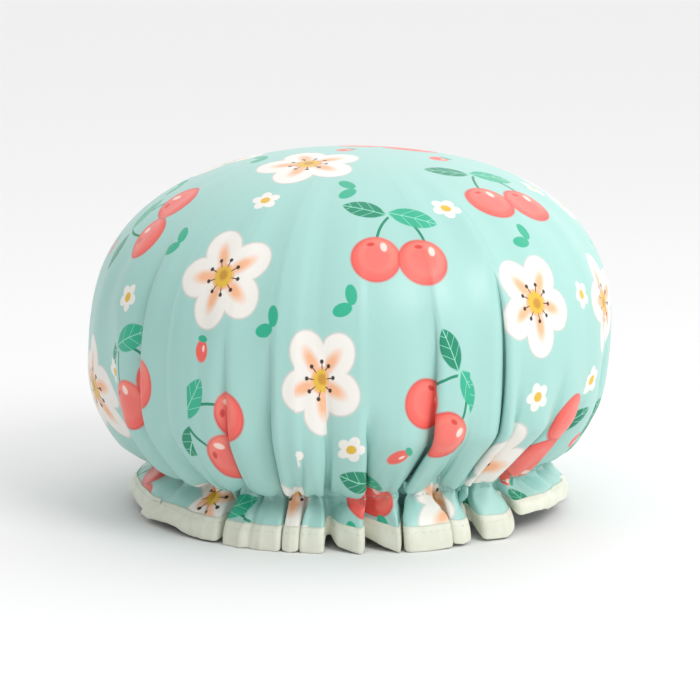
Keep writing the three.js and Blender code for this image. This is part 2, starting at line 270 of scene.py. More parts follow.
# %% Fine creases at the gathers
CREASES = 96
dice = np.random.default_rng(7)
crease_spot = (np.arange(CREASES) + dice.uniform(-0.4, 0.4, CREASES)) / CREASES  # shares round the cap
crease_start = dice.uniform(1.2, 1.75, CREASES)  # place where it starts above the channel
crease_end = dice.uniform(3.25, 3.75, CREASES)  # and ends on the ruffle
crease_depth = dice.uniform(0.7, 2.7, CREASES)  # millimetres
crease_width = dice.uniform(0.0018, 0.0042, CREASES)  # shares round the cap
crease_lean = dice.uniform(-0.006, 0.006, CREASES)
CREASE_GROWTH = 0.5
CREASE_MOST = 2.6  # millimetres, where creases meet
CHANNEL_RIM = 0.08  # the creases are pressed out this close to the channel


def fine_creases(place, share):
    """How far narrow creases pull the cloth in, one row for each place."""
    total = np.zeros((len(place), len(share)))
    above = 1 - ease(place, CHANNEL_TOP - CHANNEL_RIM, CHANNEL_TOP)
    below = ease(place, CHANNEL_FOOT, CHANNEL_FOOT + CHANNEL_RIM)
    for k in range(CREASES):
        grown = above * ease(place, crease_start[k], crease_start[k] + CREASE_GROWTH)
        grown = grown + below * (1 - ease(place, CHANNEL_FOOT, crease_end[k]))
        off = share - crease_spot[k] - (crease_lean[k] * (CHANNEL_TOP - place))[:, None]
        off = np.abs((off + 0.5) % 1.0 - 0.5)
        total += crease_depth[k] * grown[:, None] * np.exp(-off / crease_width[k])
    return np.minimum(total, CREASE_MOST)


print(CREASES, "creases,", crease_depth.min().round(1), "to", crease_depth.max().round(1), "mm deep")

# %% [markdown]
# ## The whole sheet
# The next two cells put the sheet together. The lobes sag over the channel and their edge crinkles, the
# hem lifts at some valleys, and at the front right the belly is drawn in and runs straight down to the
# gathers. Small gathers crowd along the channel and fade above and below it, because the elastic holds
# more cloth than the large folds can take. Shallow lumps keep the crown from looking turned on a lathe.

# %% What the sheet does between its folds
LOBE_SAG = 0.19 * (CROWN_RADIUS - GATHER_RADIUS)
TAUT_VALLEYS = 0.85  # deep valleys hardly sag
VALLEY_CLEAR = 3.5  # on the belly a valley ends this far outside those of the channel
DRAWN_BEARINGS = np.radians([-180, -8, 14, 48, 78, 180])
DRAWN_SHARES = [0, 0, 1, 0.9, 0, 0]  # at the front right the belly runs straight into the gathers
DRAWN_SLOPE = 0.9  # millimetres out for each one up
DRAWN_CLEAR = 3.0  # outside the gathers at its foot
DRAWN_FROM, DRAWN_FULL = 1.12, 1.5
SAG_START, SAG_FULL = 1.45, 1.88
VALLEY_LIFT = 7.0  # a deep valley raises the hem
GATHER_WAVES = [(61, 0.9, 0.3), (83, 0.8, 2.1), (109, 0.6, 4.4)]  # count round the cap, mm, phase
SOFT_WAVES = [(37, 0.8, 1.0), (53, 0.6, 3.3)]  # broader ones that run further
HEM_WAVES = [(31, 0.2, 1.2), (59, 0.2, 3.1), (97, 0.2, 0.4)]  # the hem is never quite even
LIP_WAVES = [(19, 0.7, 0.7), (43, 0.7, 2.0), (71, 0.5, 5.0)]  # crinkles of the overhanging edge
LUMPS = [(3, 0.4, 2.2), (5, 0.4, 4.0), (23, 0.45, 0.5), (31, 0.35, 2.7)]  # of crown and belly
GATHER_SWELL, SOFT_SWELL = 1.5, 0.8  # the gathers stand out more than they dip
CLOSE_ABOVE, CLOSE_BELOW = 0.12, 0.3  # how soon the gathers fade on either side of the channel
FAR_ABOVE, FAR_BELOW = 0.52, 0.6
LUMPY = (0.1, 0.6, 1.2, 1.8)  # places where the lumps start, are full, start to fade and end
SHOULDER_PUFF, SHOULDER = 5.0, (0.0, 0.3, 0.45, 1.15)  # the crown is fuller at the upper right
HIP_PUFF, HIP = 2.5, (0.85, 1.2, 1.7, 1.9)  # and the belly at the left
LIFT_LATE = 3.5  # a lobe keeps the lift of its left end for most of its width
steps = np.arange(2 * HALF_STEPS) / (2 * HALF_STEPS)
lobe_lift = HEM_LIFT[:, None] + (np.roll(HEM_LIFT, -1) - HEM_LIFT)[:, None] * steps**LIFT_LATE
lobe_notch = HEM_DEPTH[:, None] * (1 - steps) + np.roll(HEM_DEPTH, -1)[:, None] * steps
lobe_dent = BELLY_DEPTH[:, None] * (1 - steps) + np.roll(BELLY_DEPTH, -1)[:, None] * steps


def wave_sum(waves, share):
    """Waves of the given counts round the cap, sizes and phases, added up."""
    return sum(size * np.sin(2 * np.pi * count * share + phase) for count, size, phase in waves)


def within(place, bounds):
    """A column that rises, stays at 1 and falls again between four places."""
    start, full, fading, end = bounds
    return (ease(place, start, full) * (1 - ease(place, fading, end)))[:, None]


def drawn_in(place):
    """How far the belly is pulled in where it runs down to the gathers as a cone."""
    radius, height = outline(np.minimum(place, SAG_FULL))
    above_foot = height - LOBE_SAG * ease(place, SAG_START, SAG_FULL) - (CHANNEL_TOP_Z - LOBE_SAG)
    cone = GATHER_RADIUS + DRAWN_CLEAR + DRAWN_SLOPE * above_foot
    pulled = np.clip(radius - cone, 0.0, None) * ease(place, DRAWN_FROM, DRAWN_FULL)
    return pulled * (1 - ease(place, SAG_FULL, CHANNEL_TOP))


print("the belly is drawn in by up to", drawn_in(np.linspace(FULLEST, CHANNEL_TOP, 50)).max().round(1), "mm")


# %% The folded sheet
def folded_sheet(place, gathers=1.0):
    """Points of the satin, in millimetres: one row for each place, one column for each step of cloth."""
    outline_radius, height = outline(place)
    radius = outline_radius[:, None]
    valleys = valley_bearings(place)
    drawn = drawn_in(place)
    valley_share = np.interp(valleys[:, :-1], DRAWN_BEARINGS, DRAWN_SHARES, period=2 * np.pi)
    valley_drawn = valley_share * drawn[:, None]
    on_belly = (place > FULLEST) & (place < CHANNEL_TOP)
    valley_end = GATHER_RADIUS - GATHER_DEPTH + VALLEY_CLEAR * (1 - ease(place, SAG_FULL, CHANNEL_TOP))
    room = np.where(on_belly, outline_radius - valley_end, np.inf)[:, None]
    depths = np.minimum(valley_depths(place), room - valley_drawn)
    crest_share = BELLY_CREST + (HEM_CREST - BELLY_CREST) * ease(place, PLEAT_FULL, CHANNEL_FOOT)[:, None]
    crest = valleys[:, :-1] + (valleys[:, 1:] - valleys[:, :-1]) * crest_share
    crest_radius = radius - TUCK * ease(place, CHANNEL_FOOT, RUFFLE_DEEP)[:, None]
    rising = half_lobes(place, radius, crest, crest_radius, valleys[:, :-1], depths, LAP)
    falling = half_lobes(
        place, radius, crest, crest_radius, valleys[:, 1:], np.roll(depths, -1, axis=1), np.roll(LAP, -1)
    )
    bearing, reach, lobe = (
        np.concatenate([up[..., :-1], down[..., :0:-1]], axis=-1) for up, down in zip(rising, falling)
    )
    hang = ease(place, SAG_START, SAG_FULL) * (1 - ease(place, SAG_FULL, CHANNEL_TOP))
    lower = ease(place, CHANNEL_FOOT, FOOT)[:, None, None]
    sag = LOBE_SAG * (1 - TAUT_VALLEYS * lobe_dent * (1 - lobe))
    drawn_share = np.interp(bearing, DRAWN_BEARINGS, DRAWN_SHARES, period=2 * np.pi)
    reach = reach - drawn_share * drawn[:, None, None]
    z = height[:, None, None] - sag * hang[:, None, None]
    z = z + lower * (lobe_lift + VALLEY_LIFT * lobe_notch * (1 - lobe))
    bearing, reach, z = (part.reshape(len(place), -1) for part in (bearing, reach, z))
    share = np.arange(reach.shape[1]) / reach.shape[1]
    above = np.clip(CHANNEL_TOP - place, 0.0, None)
    below = np.clip(place - CHANNEL_FOOT, 0.0, None)
    close = np.exp(-above / CLOSE_ABOVE - below / CLOSE_BELOW)[:, None]
    far = np.exp(-above / FAR_ABOVE - below / FAR_BELOW)[:, None]
    small = close * (wave_sum(GATHER_WAVES, share) + GATHER_SWELL)
    small = small + far * (wave_sum(SOFT_WAVES, share) + SOFT_SWELL)
    reach = reach + gathers * small - fine_creases(place, share)
    reach = reach + ease(place, CHANNEL_FOOT, FOOT)[:, None] * wave_sum(HEM_WAVES, share)
    z = z + hang[:, None] * wave_sum(LIP_WAVES, share)
    reach = reach + within(place, LUMPY) * wave_sum(LUMPS, bearing / (2 * np.pi))
    shoulder = SHOULDER_PUFF * within(place, SHOULDER)
    hip = HIP_PUFF * within(place, HIP)
    side = np.sin(bearing)
    reach = reach + shoulder * np.clip(side, 0.0, 1.0) ** 2 + hip * np.clip(-side, 0.0, 1.0) ** 2
    return np.stack([reach * np.sin(bearing), -reach * np.cos(bearing), z], axis=-1)


sheet_check = folded_sheet(np.linspace(FULLEST, FOOT, 30))
print("columns:", sheet_check.shape[1])
print("lowest", sheet_check[..., 2].min().round(1), "mm, widest", sheet_check[..., 0].max().round(1), "mm")

# %% [markdown]
# ## From rings of points to a mesh
# A cloth is a grid, so its faces follow from the order of its points. The helper joins each ring to the
# next, closes the ring on itself and, for a disc, fans the first ring in to the pole. A grid primitive could
# be bent instead, but its points would have to be moved one by one all the same. A second helper measures
# which way the cloth faces, so that a lining, a tape or a thread can be set off it.

# %% Mesh helpers
MM = 0.001


def cloth_object(name, grid, closed=True, pole=None):
    """A smooth mesh object from a grid of points in millimetres."""
    rows, columns = grid.shape[:2]
    index = np.arange(rows * columns).reshape(rows, columns)
    left = index if closed else index[:, :-1]
    right = np.roll(index, -1, axis=1) if closed else index[:, 1:]
    faces = np.stack([left[:-1], left[1:], right[1:], right[:-1]], axis=-1).reshape(-1, 4).tolist()
    points = (grid.reshape(-1, 3) * MM).tolist()
    if pole is not None:
        points.append([0.0, 0.0, pole * MM])
        faces += [[rows * columns, a, b] for a, b in zip(left[0].tolist(), right[0].tolist())]
    mesh = bpy.data.meshes.new(name)
    mesh.from_pydata(points, [], faces)
    mesh.shade_smooth()
    piece = bpy.data.objects.new(name, mesh)
    bpy.context.collection.objects.link(piece)
    return piece


def outward(grid):
    """Unit directions off the outer face at each point of a closed grid."""
    along = np.gradient(grid, axis=0)
    across = np.roll(grid, -1, axis=1) - np.roll(grid, 1, axis=1)
    facing = np.cross(along, across)
    return facing / np.linalg.norm(facing, axis=-1, keepdims=True)


def settle(piece, slot, *nodes):
    """The piece moves with the cap and stands for its solids; the slot it is given is not used."""
    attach(piece, "root")
    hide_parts(*nodes)
    print(piece.name, len(piece.data.polygons), "faces")


# %% [markdown]
# ## The satin shell
# The outer is one disc of satin, so the print runs over the crown, into the gathers and out again on the
# ruffle. The disc's radius is the mean length of the modelled cloth from its middle down to the hem. The
# print could be projected from the front, but it would smear on the sides, so it is laid on the flat disc:
# on the crown it follows the bearing, and further down each lobe shows it at true scale while the valleys
# swallow the rest.

# %% Rings and flat measures of the satin
HEM_TURN = 0.85  # the raw edge ends this far above the tape's fold
PLY_END = FOOT - HEM_TURN / RUFFLE_HEIGHT
CROWN_ROWS, BELLY_ROWS, CHANNEL_ROWS, RUFFLE_ROWS = 28, 42, 7, 29
CROWN_FIRST, CROWN_LAST, BELLY_LAST = 0.03, 0.98, 0.985
crown_rings = np.linspace(CROWN_FIRST, CROWN_LAST, CROWN_ROWS)
belly_rings = FULLEST + np.sin(np.linspace(0.0, np.pi / 2, BELLY_ROWS)) * BELLY_LAST
channel_rings = np.linspace(CHANNEL_TOP, CHANNEL_FOOT, CHANNEL_ROWS)
ruffle_rings = np.linspace(CHANNEL_FOOT, PLY_END, RUFFLE_ROWS)[1:]
satin_rings = np.concatenate([crown_rings, belly_rings, channel_rings, ruffle_rings])
satin_grid = folded_sheet(satin_rings)
WALK_STEPS = 4001  # points along the outline when its length is measured


def flat_radius(place):
    """How far from the disc's middle each place was before the cloth was gathered."""
    fine = np.linspace(0.0, FOOT, WALK_STEPS)
    radius, height = outline(fine)
    walked = np.concatenate([[0.0], np.cumsum(np.hypot(np.diff(radius), np.diff(height)))])
    return np.interp(place, fine, walked)


# %% Make the satin shell
outer = cloth_object("satin_shell", satin_grid, pole=outline(np.array([0.0]))[1][0])
settle(outer, "satin", "outer_shell")

# %% Lay the print on the flat disc
PRINT_LEAVES, PRINT_TRUE = 0.75, 1.35  # places between which the print goes over to true scale


def print_map(place, grid):
    """Flat coordinates in millimetres for the corners of every face, lobe by lobe."""
    closed = np.concatenate([grid, grid[:, :1]], axis=1)
    stride = np.linalg.norm(np.diff(closed, axis=1), axis=-1).reshape(len(place), LOBES, -1)
    walked = np.concatenate([np.zeros((len(place), LOBES, 1)), np.cumsum(stride, axis=-1)], axis=-1)
    from_crest = walked - walked[..., HALF_STEPS, None]
    bearing = np.radians(BELLY_BEARING)
    following = np.radians(np.append(BELLY_BEARING[1:], BELLY_BEARING[0] + 360))
    crest = bearing + (following - bearing) * BELLY_CREST
    rising = np.linspace(bearing, crest, HALF_STEPS + 1, axis=-1)
    falling = np.linspace(crest, following, HALF_STEPS + 1, axis=-1)
    even = np.concatenate([rising, falling[:, 1:]], axis=-1)
    flat = flat_radius(place)[:, None, None]
    true = crest[:, None] + from_crest / flat
    seen = ease(place, PRINT_LEAVES, PRINT_TRUE)[:, None, None]
    angle = even + (true - even) * seen
    return np.stack([flat * np.sin(angle), -flat * np.cos(angle)], axis=-1)


def lay_flat(piece, left, right, fan=None):
    """Writes flat coordinates in millimetres to the corners of every face, and of the fan at the pole."""
    quads = np.stack([left[:-1], left[1:], right[1:], right[:-1]], axis=2).reshape(-1, 2)
    if fan is not None:
        quads = np.concatenate([quads, np.stack([fan, left[0], right[0]], axis=1).reshape(-1, 2)])
    layer = piece.data.uv_layers.new(name="flat_cloth")
    layer.data.foreach_set("uv", quads.astype(np.float32).ravel())


satin_map = print_map(satin_rings, satin_grid)
rows, columns = satin_grid.shape[:2]
lay_flat(
    outer,
    satin_map[:, :, :-1].reshape(rows, columns, 2),
    satin_map[:, :, 1:].reshape(rows, columns, 2),
    fan=np.zeros((columns, 2)),
)
print("print map reaches", np.abs(satin_map).max().round(), "mm from the middle")

# %% [markdown]
# ## The waterproof liner
# The liner is a second disc of soft film behind the satin, caught in the same seams. A Solidify modifier
# could set a copy of the satin inwards, but it would follow every crease and cut through itself in the
# folds. So the sheet is made again with fewer rings and set inwards. It stands off further where the folds
# are deep, runs straight down to the channel and makes room there for the elastic.

# %% Make the liner
LINER_BACK = 0.7  # behind the satin, in millimetres
BELLY_BACK = 1.6  # the film hangs further back where the satin's folds are deep
BELLY_BACK_FROM, BELLY_BACK_FULL = 1.3, 1.6
CHANNEL_ROOM = 1.9  # the elastic and a little air
FILM_EASE = 0.15  # the film lies flat on the elastic and takes up the gathers soon below it
FILM_CLOSES, FILM_CLOSED = 0.1, 0.05  # and closes up to the satin again round the channel's foot
LINER_LEAVES = 1.72  # from here the film runs straight to the channel, above the satin that hangs over
liner_rings = np.concatenate([crown_rings[::2], belly_rings[::2], channel_rings, ruffle_rings])
liner_gathers = ease(liner_rings, CHANNEL_FOOT, CHANNEL_FOOT + FILM_EASE)[:, None]
liner_sheet = folded_sheet(liner_rings, gathers=liner_gathers)
above_channel = ease(liner_rings, LINER_LEAVES, CHANNEL_TOP)
below_channel = ease(liner_rings, CHANNEL_FOOT - FILM_CLOSES, CHANNEL_FOOT + FILM_CLOSED)
in_channel = above_channel * (1 - below_channel)
deep_folds = ease(liner_rings, BELLY_BACK_FROM, BELLY_BACK_FULL) * (liner_rings < LINER_LEAVES)
liner_back = LINER_BACK + BELLY_BACK * deep_folds
liner_offset = (liner_back + CHANNEL_ROOM * in_channel)[:, None, None]
liner_kept = (liner_rings < LINER_LEAVES) | (liner_rings >= CHANNEL_TOP)
liner_grid = (liner_sheet - outward(liner_sheet) * liner_offset)[liner_kept]
liner = cloth_object("liner_film", liner_grid, pole=outline(np.array([0.0]))[1][0] - LINER_BACK)
settle(liner, "liner", "inner_liner")

# %% [markdown]
# ## The elastic
# A narrow braided elastic lies in the channel between satin and film. It is hidden once the cap is sewn, but
# it is what draws the cap in, so it is there: a strip with the fine ribs that its rubber cores give it. A
# bent strip of plain section could stand for it, but it has to lie in the channel's gathers, so its two
# faces are taken from the same sheet.

# %% Make the elastic
ELASTIC_WIDTH = 5.0
ELASTIC_THICKNESS = 0.8
ELASTIC_BACK = 1.3  # behind the satin
RIBS = 6
RIB_HEIGHT = 0.12
RIB_POINTS = 4 * RIBS + 1
elastic_margin = (1 - ELASTIC_WIDTH / CHANNEL_HEIGHT) / 2
elastic_rows = np.linspace(CHANNEL_TOP + elastic_margin, CHANNEL_FOOT - elastic_margin, RIB_POINTS)
elastic_sheet = folded_sheet(elastic_rows, gathers=0.0)
elastic_facing = outward(elastic_sheet)
rib = RIB_HEIGHT * (1 + np.cos(np.linspace(0, 2 * np.pi * RIBS, RIB_POINTS)))[:, None, None]
elastic_front = elastic_sheet - elastic_facing * (ELASTIC_BACK + rib)
elastic_rear = elastic_sheet - elastic_facing * (ELASTIC_BACK + ELASTIC_THICKNESS - rib)
elastic_loop = np.concatenate([elastic_front, elastic_rear[::-1], elastic_front[:1]])
elastic = cloth_object("elastic_strip", elastic_loop)
settle(elastic, "elastic", "elastic_band")


# %% Lay the elastic's braid along it
def strip_map(grid):
    """Flat coordinates of a strip: millimetres along it and round its section."""
    along = np.linalg.norm(np.diff(grid, axis=1), axis=-1).mean(axis=0)
    around = np.linalg.norm(np.diff(grid, axis=0), axis=-1).mean(axis=1)
    along = np.concatenate([[0.0], np.cumsum(along)])
    around = np.concatenate([[0.0], np.cumsum(around)])
    return np.stack(np.meshgrid(along, around), axis=-1)


elastic_map = strip_map(np.concatenate([elastic_loop, elastic_loop[:, :1]], axis=1))
lay_flat(elastic, elastic_map[:, :-1], elastic_map[:, 1:])
print("the elastic is", elastic_map[..., 0].max().round(), "mm round")

# %% [markdown]
# ## The binding tape
# The hem's raw edges are wrapped in a folded tape. Its section runs down the outside, round under the hem
# and up the inside. A curve with a bevel could sweep that section along the hem, but it would twist in the
# folds, so the section is set off the sheet itself, on either side. The tape's two ends overlap on the left
# of the cap, where the upper end shows as a slanting edge and hangs a little low.

# %% Section of the tape along the hem
BINDING_HEIGHT = 11.0
BINDING_TOP = FOOT - BINDING_HEIGHT / RUFFLE_HEIGHT
TAPE_ROWS = 12
TAPE_OFF = 0.3  # off the cloth it wraps
TAPE_BULGE = 0.1
BULGE_FROM, BULGE_TO = 0.05, 0.9  # the part of half a wave that the bulge follows
TAPE_TURN = 0.8  # how far it goes round under the hem
TURN_STEPS = 7
LIP_OFF = 0.12  # its edges lie closer to the cloth
tape_places = np.linspace(BINDING_TOP, PLY_END, TAPE_ROWS)
tape_sheet = folded_sheet(tape_places)
tape_facing = outward(tape_sheet)
puff = TAPE_OFF + TAPE_BULGE * np.sin(np.linspace(BULGE_FROM, BULGE_TO, TAPE_ROWS) * np.pi)
tape_front = tape_sheet + tape_facing * puff[:, None, None]
tape_back = tape_sheet - tape_facing * (LINER_BACK + puff)[:, None, None]
hem_down = tape_sheet[-1] - tape_sheet[-2]
hem_down /= np.linalg.norm(hem_down, axis=-1, keepdims=True)
under_turns = np.linspace(0, np.pi, TURN_STEPS)[1:-1]
hem_middle = (tape_front[-1] + tape_back[-1]) / 2
hem_half = (tape_front[-1] - tape_back[-1]) / 2
tape_under = np.stack([
    hem_middle + hem_half * math.cos(turn) + hem_down * TAPE_TURN * math.sin(turn) for turn in under_turns
])
lip_front = tape_sheet[:1] + tape_facing[:1] * LIP_OFF
lip_back = tape_sheet[:1] - tape_facing[:1] * (LINER_BACK + LIP_OFF)
tape_loop = np.concatenate([lip_front, tape_front, tape_under, tape_back[::-1], lip_back])
tape_loop[..., 2] = np.maximum(tape_loop[..., 2], 0.0)
print("tape section has", len(tape_loop), "points")

# %% Lap the ends and make the tape
LAP_BEARING = -64.0  # degrees from the front
LAP_COLUMNS = 7  # columns of cloth that lie double
LAP_FADE = 3 * LAP_COLUMNS  # columns over which the upper end comes down to the hem
LAP_LIFT = 1.1  # off the end below
LAP_SLANT = 3.5  # the edge leans this far to either side
SLANT_FADE = 3  # the slant is gone sooner than the lift
LAP_DROP = 2.2
tape_bearing = np.degrees(np.arctan2(tape_sheet[0, :, 0], -tape_sheet[0, :, 1]))
lap_column = int(np.argmin(np.abs(tape_bearing - LAP_BEARING)))
order = (lap_column + np.arange(tape_loop.shape[1] + LAP_COLUMNS + 1)) % tape_loop.shape[1]
strip = tape_loop[:, order]
under_facing = np.repeat(tape_facing[-1:], len(under_turns), axis=0)
strip_facing = np.concatenate(
    [tape_facing[:1], tape_facing, under_facing, tape_facing[::-1], tape_facing[:1]]
)[:, order]
fade = 1 - ease(np.arange(strip.shape[1]), 0, LAP_FADE)
front_rows = np.arange(len(strip)) <= TAPE_ROWS
lift = np.where(front_rows, LAP_LIFT, -LAP_LIFT)[:, None] * fade
strip = strip + strip_facing * lift[..., None]
slant = np.linspace(LAP_SLANT, -LAP_SLANT, TAPE_ROWS + 1)
slant = np.concatenate([slant, np.full(len(under_turns), slant[-1]), slant[::-1]])
slant = slant[:, None] * fade**SLANT_FADE
sideways = np.gradient(strip, axis=1)
sideways /= np.linalg.norm(sideways, axis=-1, keepdims=True)
strip = strip + sideways * slant[..., None]
strip[..., 2] -= LAP_DROP * fade
strip[..., 2] = np.maximum(strip[..., 2], 0.0)
binding = cloth_object("binding_tape", strip, closed=False)
settle(binding, "tape", "hem_binding")
tape_map = strip_map(strip)
lay_flat(binding, tape_map[:, :-1], tape_map[:, 1:])
print("the tape is", tape_map[..., 0].max().round(), "mm long")

# %% [markdown]
# ## The stitches
# Three rows of machine stitches hold the cap: one at each edge of the channel and one through the tape. A
# stitch is a short thread that dips into the cloth at both ends. A bent tube could stand for a whole row,
# but it would show no single stitches. So one stitch is modelled from a six-sided cylinder, its ends drawn
# out, narrowed and pushed down, and it is copied along the row at the length of a real stitch.

# %% Model one stitch
STITCH_STRAIGHT = 1.4
THREAD_RADIUS = 0.2
THREAD_SIDES = 6
STITCH_ENDS = [(0.28, 0.85, 0.08), (0.17, 0.55, 0.14)]  # each step out, its narrowing and how far it dips
CAP_FACING = 0.9  # only the cylinder's end faces look this much along it
bpy.ops.object.select_all(action="DESELECT")
bpy.ops.mesh.primitive_cylinder_add(
    vertices=THREAD_SIDES,
    radius=THREAD_RADIUS * MM,
    depth=STITCH_STRAIGHT * MM,
    rotation=(0.0, math.pi / 2, 0.0),
)
bpy.ops.object.transform_apply(location=False, rotation=True, scale=False)
stitch = bpy.context.object
for end in (1, -1):
    tip = Vector((end * STITCH_STRAIGHT / 2 * MM, 0.0, 0.0))
    for out, narrowing, dip in STITCH_ENDS:
        for face in stitch.data.polygons:
            face.select = face.normal.x * end > CAP_FACING
        move = Vector((end * out * MM, 0.0, -dip * MM))
        tip = tip + move
        bpy.ops.object.mode_set(mode="EDIT")
        bpy.ops.mesh.select_mode(type="FACE")
        bpy.ops.mesh.extrude_region_move(TRANSFORM_OT_translate={"value": move})
        bpy.ops.transform.resize(value=(1.0, narrowing, narrowing), center_override=tip)
        bpy.ops.object.mode_set(mode="OBJECT")
stitch.data.shade_smooth()
stitch_length = round(stitch.dimensions.x / MM, 2)
print("one stitch has", len(stitch.data.polygons), "faces and is", stitch_length, "mm long")

# %% Copy it along a row
STITCH_PITCH = 3.4  # from the middle of one stitch to the next


def at_lengths(lengths, walked, values):
    """Values of a closed row of points at given lengths along it."""
    closed = np.concatenate([values, values[:1]])
    round_once = lengths % walked[-1]
    return np.stack([np.interp(round_once, walked, closed[:, axis]) for axis in range(3)], axis=-1)


def stitch_row(name, path, facing):
    """One piece made of copies of the stitch, laid along a closed path with their backs to the cloth."""
    strides = np.linalg.norm(np.roll(path, -1, axis=0) - path, axis=-1)
    walked = np.concatenate([[0.0], np.cumsum(strides)])
    count = int(walked[-1] / STITCH_PITCH)
    middles = (np.arange(count) + 0.5) * walked[-1] / count
    places = at_lengths(middles, walked, path)
    ups = at_lengths(middles, walked, facing)
    ahead = at_lengths(middles + STITCH_STRAIGHT, walked, path)
    behind = at_lengths(middles - STITCH_STRAIGHT, walked, path)
    bpy.ops.object.select_all(action="DESELECT")
    for place, up, heading in zip(places, ups, ahead - behind):
        forward = Vector(heading).normalized()
        side = Vector(up).cross(forward).normalized()
        turn = Matrix((forward, side, forward.cross(side))).transposed().to_4x4()
        copy = bpy.data.objects.new(name, stitch.data.copy())
        copy.data.transform(Matrix.Translation(Vector(place) * MM) @ turn)
        bpy.context.collection.objects.link(copy)
        copy.select_set(True)
    bpy.context.view_layer.objects.active = copy
    bpy.ops.object.join()
    row = bpy.context.object
    row.name = name
    print(name, count, "stitches")
    return row


# %% Sew the three rows
SEAM_SUNK = 0.1  # the thread is pulled into the soft tape
SEAM_STEP = 0.02  # places either side of a seam, to measure which way the cloth faces there
SEAM_ROW = 3  # ring of the tape's front that carries its seam
seam_margin = elastic_margin / 2
channel_rows = []
for name, node, place in (
    ("upper_stitches", "channel_seam_upper", CHANNEL_TOP + seam_margin),
    ("lower_stitches", "channel_seam_lower", CHANNEL_FOOT - seam_margin),
):
    around = folded_sheet(np.array([place - SEAM_STEP, place, place + SEAM_STEP]))
    seam_facing = outward(around)[1]
    row = stitch_row(name, around[1], seam_facing)
    settle(row, "mint_thread", node)
    channel_rows.append(row)
binding_path = tape_front[SEAM_ROW] - tape_facing[SEAM_ROW] * SEAM_SUNK
binding_row = stitch_row("binding_stitches", binding_path, tape_facing[SEAM_ROW])
settle(binding_row, "cream_thread", "binding_seam")
bpy.data.objects.remove(stitch)

# %% [markdown]
# ## Colours
# A colour is easiest to choose as a screen value, but shaders work in linear light, so one function turns
# the one into the other. Node trees could be built by hand in the editor. In a script, one small function
# that adds a node, sets it up and links what feeds it keeps them short enough to read.

# %% Colour and node helpers
NOISE_LOW, NOISE_HIGH = 0.3, 0.7  # most values of a noise texture lie between these


def linear(hex_colour):
    """An sRGB colour such as #A9E3D8 as linear light with alpha."""
    parts = [int(hex_colour[i : i + 2], 16) / 255 for i in (1, 3, 5)]
    return tuple(c / 12.92 if c <= 0.04045 else ((c + 0.055) / 1.055) ** 2.4 for c in parts) + (1.0,)


def add(tree, kind, *feeds, **settings):
    """Adds a node, sets it up, feeds its sockets in order or by name, and returns its first output."""
    node = tree.nodes.new("ShaderNode" + kind)
    named = settings.pop("named", {})
    for key, value in settings.items():
        setattr(node, key, value)
    sockets = [socket for socket in node.inputs if socket.enabled]
    fed = list(zip(sockets, feeds))
    fed += [(node.inputs[key], feed) for key, feed in named.items()]
    for socket, feed in fed:
        if isinstance(feed, bpy.types.NodeSocket):
            tree.links.new(feed, socket)
        elif feed is not None:
            socket.default_value = feed
    return next((socket for socket in node.outputs if socket.enabled), None)


def finish_material(name):
    """An empty node material with its output, and its tree."""
    material = bpy.data.materials.new(name)
    material.use_nodes = True
    material.node_tree.nodes.clear()
    return material, material.node_tree


def put_on(finish, surface, *pieces):
    """Sends a surface to the material's output and gives the material to pieces."""
    add(finish.node_tree, "OutputMaterial", surface)
    for piece in pieces:
        piece.data.materials.append(finish)
    print(finish.name, "has", len(finish.node_tree.nodes), "nodes")


print("a middle grey on the screen is", round(linear("#808080")[0], 2), "in linear light")

# %% [markdown]
# ## The print
# The satin carries a scattered print on mint. An image could be painted and laid on the cloth, but masks stay
# sharp at any distance: an ellipse is a distance, a leaf is where two discs overlap, and a flower is one
# petal turned round its middle. Large motifs sit on a brick layout with every other row shifted, small ones
# lie between them, and chance turns and moves each a little. All sizes are in millimetres of flat cloth.

# %% Masks for the motifs
satin_finish, satin = finish_material("polyester_satin")
print("new material:", satin_finish.name)


def blob(spot, centre, half, soft=0.05):
    """1 inside an ellipse and 0 outside, with a soft edge."""
    off = add(satin, "VectorMath", spot, (*centre, 0.0), operation="SUBTRACT")
    scaled = add(satin, "VectorMath", off, (*half, 1.0), operation="DIVIDE")
    far = add(satin, "VectorMath", scaled, operation="LENGTH")
    return add(satin, "MapRange", far, 1 + soft, 1 - soft, 0.0, 1.0)


def turned(spot, base, angle):
    """The spot seen from a base point, in a frame that is turned by an angle."""
    off = add(satin, "VectorMath", spot, (*base, 0.0), operation="SUBTRACT")
    return add(satin, "VectorRotate", off, (0.0, 0.0, 0.0), angle, rotation_type="Z_AXIS")


def round_petals(spot, count):
    """Folds the plane round its middle, so that one petal along the first axis becomes many."""
    split = add(satin, "SeparateXYZ", spot).node.outputs
    angle = add(satin, "Math", split["Y"], split["X"], operation="ARCTAN2")
    near = add(satin, "Math", angle, math.pi / count, operation="PINGPONG")
    far = add(satin, "VectorMath", spot, operation="LENGTH")
    along = add(satin, "Math", far, add(satin, "Math", near, operation="COSINE"), operation="MULTIPLY")
    aside = add(satin, "Math", far, add(satin, "Math", near, operation="SINE"), operation="MULTIPLY")
    return add(satin, "CombineXYZ", along, aside)


def layered(ground, layers):
    """Paints masks and colours one over the other."""
    for mask, colour in layers:
        ground = add(satin, "Mix", mask, ground, linear(colour), data_type="RGBA")
    return ground


# %% Leaves and stems
LEAF, DEEP_LEAF, VEIN = "#2FB08C", "#178A6A", "#8FD8BE"
LEAF_BOW, LEAF_SWING = 0.62, 0.36  # radius and offset of a leaf's two edges, as shares of its length
VEIN_SPACING = 0.13  # also a share of the length
VEIN_HALF, MIDRIB_HALF, STEM_HALF = 0.16, 0.22, 0.55  # half widths


